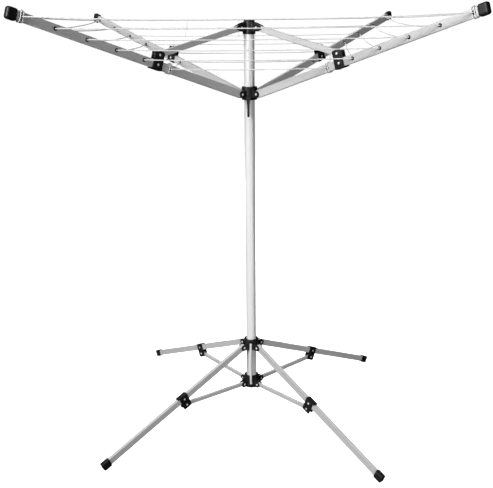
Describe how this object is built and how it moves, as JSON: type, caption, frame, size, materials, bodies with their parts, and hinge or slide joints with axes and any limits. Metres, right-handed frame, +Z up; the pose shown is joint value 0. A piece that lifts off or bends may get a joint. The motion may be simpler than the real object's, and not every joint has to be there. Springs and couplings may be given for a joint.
{
  "type": "rotary clothesline",
  "caption": "Free-standing rotary clothesline: round mast with a sliding collar, four braced folding arms strung with line, and a folding leg base with struts.",
  "frame": {"origin": "on the mast's axis, on the ground plane under the feet", "axes": "+Z up along the mast, -Y towards the front, between the two front arms, +X to the right"},
  "size_m": [1.3838, 1.415, 1.6273],
  "materials": {
    "mast_tube": "satin anodised round tube",
    "square_tube": "satin drawn rectangular tube",
    "bright_rod": "bright zinc",
    "zinc_bolt": "zinc plated, domed",
    "black_plastic": "fine moulded satin black",
    "foot_plastic": "moulded black",
    "line_cord": "white coated washing line"
  },
  "bodies": {
    "base": {"lower_hub": "black_plastic", "lower_hub_bolts": "zinc_bolt", "lock_rod": "bright_rod"},
    "mast": {"mast_tube": "mast_tube", "crown_hub": "black_plastic", "crown_bolts": "zinc_bolt", "line_front": "line_cord", "line_left": "line_cord", "line_back": "line_cord", "line_right": "line_cord"},
    "collar": {"collar_hub": "black_plastic", "collar_bolts": "zinc_bolt"},
    "latch": {"latch_lever": "black_plastic"},
    "leg_hub": {"leg_hub": "black_plastic", "leg_hub_bolts": "zinc_bolt"},
    "brace_fl": {"brace_fl": "square_tube"},
    "arm_fl": {"arm_tube_fl": "square_tube", "arm_cap_fl": "black_plastic", "arm_bracket_fl": "black_plastic", "arm_bolts_fl": "zinc_bolt", "arm_grommets_fl": "black_plastic"},
    "brace_fr": {"brace_fr": "square_tube"},
    "arm_fr": {"arm_tube_fr": "square_tube", "arm_cap_fr": "black_plastic", "arm_bracket_fr": "black_plastic", "arm_bolts_fr": "zinc_bolt", "arm_grommets_fr": "black_plastic"},
    "brace_br": {"brace_br": "square_tube"},
    "arm_br": {"arm_tube_br": "square_tube", "arm_cap_br": "black_plastic", "arm_bracket_br": "black_plastic", "arm_bolts_br": "zinc_bolt", "arm_grommets_br": "black_plastic"},
    "brace_bl": {"brace_bl": "square_tube"},
    "arm_bl": {"arm_tube_bl": "square_tube", "arm_cap_bl": "black_plastic", "arm_bracket_bl": "black_plastic", "arm_bolts_bl": "zinc_bolt", "arm_grommets_bl": "black_plastic"},
    "leg_strut_fl": {"leg_strut_fl": "square_tube"},
    "leg_fl": {"leg_tube_fl": "square_tube", "foot_cap_fl": "foot_plastic", "leg_bracket_fl": "black_plastic", "leg_bolts_fl": "zinc_bolt"},
    "leg_strut_fr": {"leg_strut_fr": "square_tube"},
    "leg_fr": {"leg_tube_fr": "square_tube", "foot_cap_fr": "foot_plastic", "leg_bracket_fr": "black_plastic", "leg_bolts_fr": "zinc_bolt"},
    "leg_strut_br": {"leg_strut_br": "square_tube"},
    "leg_br": {"leg_tube_br": "square_tube", "foot_cap_br": "foot_plastic", "leg_bracket_br": "black_plastic", "leg_bolts_br": "zinc_bolt"},
    "leg_strut_bl": {"leg_strut_bl": "square_tube"},
    "leg_bl": {"leg_tube_bl": "square_tube", "foot_cap_bl": "foot_plastic", "leg_bracket_bl": "black_plastic", "leg_bolts_bl": "zinc_bolt"}
  },
  "joints": [
    {"name": "mast_turn", "type": "hinge", "parent": "base", "child": "mast", "pos_m": [0, 0, 0.12], "axis": [0, 0, 1], "continuous": true},
    {"name": "collar_slide", "type": "slide", "parent": "mast", "child": "collar", "axis": [0, 0, -1], "range_m": [0, 0.525], "deforming": ["line_front", "line_left", "line_back", "line_right"]},
    {"name": "latch_press", "type": "hinge", "parent": "collar", "child": "latch", "pos_m": [-0.00463, -0.03772, 1.307], "axis": [-0.9925, 0.1219, 0], "range_deg": [0, 30]},
    {"name": "leg_hub_slide", "type": "slide", "parent": "base", "child": "leg_hub", "axis": [0, 0, 1], "range_m": [0, 0.435]},
    {"name": "brace_hinge_fl", "type": "hinge", "parent": "mast", "child": "brace_fl", "pos_m": [-0.03287, -0.03218, 1.56], "axis": [0.6997, -0.7145, 0], "range_deg": [0, 59.97]},
    {"name": "arm_hinge_fl", "type": "hinge", "parent": "brace_fl", "child": "arm_fl", "pos_m": [-0.30428, -0.29797, 1.47612], "axis": [-0.6997, 0.7145, 0], "range_deg": [0, 111.11]},
    {"name": "brace_hinge_fr", "type": "hinge", "parent": "mast", "child": "brace_fr", "pos_m": [0.03218, -0.03287, 1.56], "axis": [0.7145, 0.6997, 0], "range_deg": [0, 59.97]},
    {"name": "arm_hinge_fr", "type": "hinge", "parent": "brace_fr", "child": "arm_fr", "pos_m": [0.29797, -0.30428, 1.47612], "axis": [-0.7145, -0.6997, 0], "range_deg": [0, 111.11]},
    {"name": "brace_hinge_br", "type": "hinge", "parent": "mast", "child": "brace_br", "pos_m": [0.0309, 0.03408, 1.56], "axis": [-0.7408, 0.6717, 0], "range_deg": [0, 59.97]},
    {"name": "arm_hinge_br", "type": "hinge", "parent": "brace_br", "child": "arm_br", "pos_m": [0.28607, 0.31549, 1.47612], "axis": [0.7408, -0.6717, 0], "range_deg": [0, 111.11]},
    {"name": "brace_hinge_bl", "type": "hinge", "parent": "mast", "child": "brace_bl", "pos_m": [-0.03326, 0.03178, 1.56], "axis": [-0.6909, -0.723, 0], "range_deg": [0, 59.97]},
    {"name": "arm_hinge_bl", "type": "hinge", "parent": "brace_bl", "child": "arm_bl", "pos_m": [-0.30789, 0.29423, 1.47612], "axis": [0.6909, 0.723, 0], "range_deg": [0, 111.11]},
    {"name": "strut_hinge_fl", "type": "hinge", "parent": "base", "child": "leg_strut_fl", "pos_m": [-0.03519, -0.02963, 0.13], "axis": [-0.6441, 0.7649, 0], "range_deg": [0, 70.3]},
    {"name": "leg_hinge_fl", "type": "hinge", "parent": "leg_strut_fl", "child": "leg_fl", "pos_m": [-0.26, -0.21894, 0.14], "axis": [0.6441, -0.7649, 0], "range_deg": [0, 116.83]},
    {"name": "strut_hinge_fr", "type": "hinge", "parent": "base", "child": "leg_strut_fr", "pos_m": [0.02963, -0.03519, 0.13], "axis": [-0.7649, -0.6441, 0], "range_deg": [0, 70.3]},
    {"name": "leg_hinge_fr", "type": "hinge", "parent": "leg_strut_fr", "child": "leg_fr", "pos_m": [0.21894, -0.26, 0.14], "axis": [0.7649, 0.6441, 0], "range_deg": [0, 116.83]},
    {"name": "strut_hinge_br", "type": "hinge", "parent": "base", "child": "leg_strut_br", "pos_m": [0.03519, 0.02963, 0.13], "axis": [0.6441, -0.7649, 0], "range_deg": [0, 70.3]},
    {"name": "leg_hinge_br", "type": "hinge", "parent": "leg_strut_br", "child": "leg_br", "pos_m": [0.26, 0.21894, 0.14], "axis": [-0.6441, 0.7649, 0], "range_deg": [0, 116.83]},
    {"name": "strut_hinge_bl", "type": "hinge", "parent": "base", "child": "leg_strut_bl", "pos_m": [-0.02963, 0.03519, 0.13], "axis": [0.7649, 0.6441, 0], "range_deg": [0, 70.3]},
    {"name": "leg_hinge_bl", "type": "hinge", "parent": "leg_strut_bl", "child": "leg_bl", "pos_m": [-0.21894, 0.26, 0.14], "axis": [-0.7649, -0.6441, 0], "range_deg": [0, 116.83]}
  ],
  "couplings": [
    {"joint": "brace_hinge_fl", "follows": "collar_slide", "rad_per_m": 1.9936},
    {"joint": "arm_hinge_fl", "follows": "collar_slide", "rad_per_m": 3.6939},
    {"joint": "brace_hinge_fr", "follows": "collar_slide", "rad_per_m": 1.9936},
    {"joint": "arm_hinge_fr", "follows": "collar_slide", "rad_per_m": 3.6939},
    {"joint": "brace_hinge_br", "follows": "collar_slide", "rad_per_m": 1.9936},
    {"joint": "arm_hinge_br", "follows": "collar_slide", "rad_per_m": 3.6939},
    {"joint": "brace_hinge_bl", "follows": "collar_slide", "rad_per_m": 1.9936},
    {"joint": "arm_hinge_bl", "follows": "collar_slide", "rad_per_m": 3.6939},
    {"joint": "strut_hinge_fl", "follows": "leg_hub_slide", "rad_per_m": 2.8205},
    {"joint": "leg_hinge_fl", "follows": "leg_hub_slide", "rad_per_m": 4.6876},
    {"joint": "strut_hinge_fr", "follows": "leg_hub_slide", "rad_per_m": 2.8205},
    {"joint": "leg_hinge_fr", "follows": "leg_hub_slide", "rad_per_m": 4.6876},
    {"joint": "strut_hinge_br", "follows": "leg_hub_slide", "rad_per_m": 2.8205},
    {"joint": "leg_hinge_br", "follows": "leg_hub_slide", "rad_per_m": 4.6876},
    {"joint": "strut_hinge_bl", "follows": "leg_hub_slide", "rad_per_m": 2.8205},
    {"joint": "leg_hinge_bl", "follows": "leg_hub_slide", "rad_per_m": 4.6876}
  ]
}
